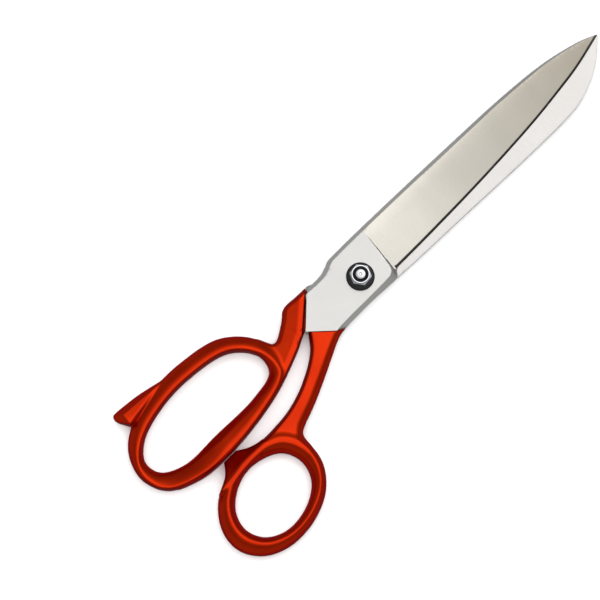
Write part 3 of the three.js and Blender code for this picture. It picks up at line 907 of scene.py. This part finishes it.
def oxide_metal():
    """Black oxide on steel: patchy, half dull, with a fine tooth."""
    made = Nodes("black_oxide_steel")
    patch = made.noise(made.position((1.2, 1.2, 1.2)), 1.0, 4.0)
    made.join(made.blend(patch, (0.012, 0.012, 0.013), (0.04, 0.04, 0.042)), made.shader.inputs["Base Color"])
    made.join(made.remap(patch, 0.26, 0.42), made.shader.inputs["Roughness"])
    made.join(made.bump(made.noise(made.position((12, 12, 12))), 0.006), made.shader.inputs["Normal"])
    made.set(Metallic=0.7)
    return made.material


def nylon_plastic():
    """Black nylon with a fine moulded grain."""
    made = Nodes("black_nylon")
    grain = made.noise(made.position((5, 5, 5)), 1.0, 3.0)
    colour = made.blend(grain, (0.0015, 0.0015, 0.002), (0.004, 0.004, 0.005))
    made.join(colour, made.shader.inputs["Base Color"])
    made.join(made.remap(grain, 0.35, 0.5), made.shader.inputs["Roughness"])
    made.join(made.bump(grain, 0.01), made.shader.inputs["Normal"])
    made.set(Specular_IOR_Level=0.12)
    return made.material


# ---------------------------------------------------------------- table, light and camera

def floor():
    """A pale table a hair below the shears. The enamel and the steel do not mirror it."""
    size, height = 3.0, -0.0002
    corners = [(-size, -size, height), (size, -size, height), (size, size, height), (-size, size, height)]
    plane = make_object("table_top", corners, [(0, 1, 2, 3)], False)
    made = Nodes("pale_table")
    cloud = made.noise(made.position((0.01, 0.01, 0.01)), 1.0, 2.0)
    made.join(made.blend(cloud, (0.90, 0.90, 0.90), (0.93, 0.93, 0.93)), made.shader.inputs["Base Color"])
    made.set(Roughness=0.9, Specular_IOR_Level=0.1)
    plane.data.materials.append(made.material)
    plane.visible_glossy = False


# Brightness of the overhead light by angle from its middle, in degrees
KEY_DIRECTION = Vector((-0.075, 0.276, 1))
KEY_LEVELS = ((0, 1.0), (12, 0.9), (20, 0.55), (30, 0.28), (44, 0.15), (65, 0.13), (90, 0.22), (130, 0.22),
              (180, 0.1))
KEY_STRENGTH = 2.3


def sky():
    """A dim room with one large soft light overhead, brightest towards KEY_DIRECTION."""
    world = bpy.data.worlds.new("studio")
    bpy.context.scene.world = world
    world.use_nodes = True
    tree = world.node_tree
    where = tree.nodes.new("ShaderNodeTexCoord")
    toward = tree.nodes.new("ShaderNodeVectorMath")
    toward.operation = "DOT_PRODUCT"
    toward.inputs[1].default_value = KEY_DIRECTION.normalized()
    height = tree.nodes.new("ShaderNodeMath")
    height.operation = "MULTIPLY_ADD"
    height.inputs[1].default_value = height.inputs[2].default_value = 0.5
    ramp = tree.nodes.new("ShaderNodeValToRGB")
    tree.links.new(where.outputs["Generated"], toward.inputs[0])
    tree.links.new(toward.outputs["Value"], height.inputs[0])
    tree.links.new(height.outputs[0], ramp.inputs["Fac"])
    tree.links.new(ramp.outputs["Color"], tree.nodes["Background"].inputs["Color"])
    elements = ramp.color_ramp.elements
    while len(elements) < len(KEY_LEVELS):
        elements.new(0.5)
    for element, (angle, level) in zip(elements, reversed(KEY_LEVELS)):
        element.position = (1 + math.cos(math.radians(angle))) / 2
        element.color = (level, level, level, 1)
    tree.nodes["Background"].inputs["Strength"].default_value = KEY_STRENGTH


def table_fill():
    """A wide soft lamp that lights the table from above and does not show in the steel."""
    light = bpy.data.lights.new("table_fill", "AREA")
    light.shape = "SQUARE"
    light.size = 2.4
    light.energy = 46
    lamp = bpy.data.objects.new("table_fill", light)
    lamp.location = (0, 0, 1.6)
    lamp.visible_camera = False
    lamp.visible_glossy = False
    bpy.context.scene.collection.objects.link(lamp)


LOOK_AT = Vector((-9.317, -21.061, 9.5)) * MM
IMAGE_RIGHT = Vector((0.71228, 0.70190, 0))
TABLE_UP = Vector((-IMAGE_RIGHT.y, IMAGE_RIGHT.x, 0))
TILT = math.radians(8.5)       # how far the camera leans back from straight down
DISTANCE = 1.4
PICTURE_WIDTH = 212.58 * MM    # at the look-at point
SENSOR_WIDTH = 36


def camera():
    """Looks nearly straight down, with the blades running up to the right."""
    back = math.cos(TILT) * Vector((0, 0, 1)) - math.sin(TILT) * TABLE_UP
    up = math.cos(TILT) * TABLE_UP + math.sin(TILT) * Vector((0, 0, 1))
    data = bpy.data.cameras.new("camera")
    data.sensor_width = SENSOR_WIDTH
    data.lens = SENSOR_WIDTH * DISTANCE / PICTURE_WIDTH
    data.clip_start = 0.05
    eye = bpy.data.objects.new("camera", data)
    turn = Matrix((IMAGE_RIGHT, up, back)).transposed()
    eye.matrix_world = Matrix.Translation(LOOK_AT + back * DISTANCE) @ turn.to_4x4()
    bpy.context.scene.collection.objects.link(eye)
    bpy.context.scene.camera = eye


camera()
sky()
table_fill()
bpy.context.scene.view_settings.view_transform = "Standard"
floor()
thumb_handle()
finger_handle()
upper_blade()
lower_blade()
pivot_screw()
spring_washer()
lock_nut()
nylon_insert()
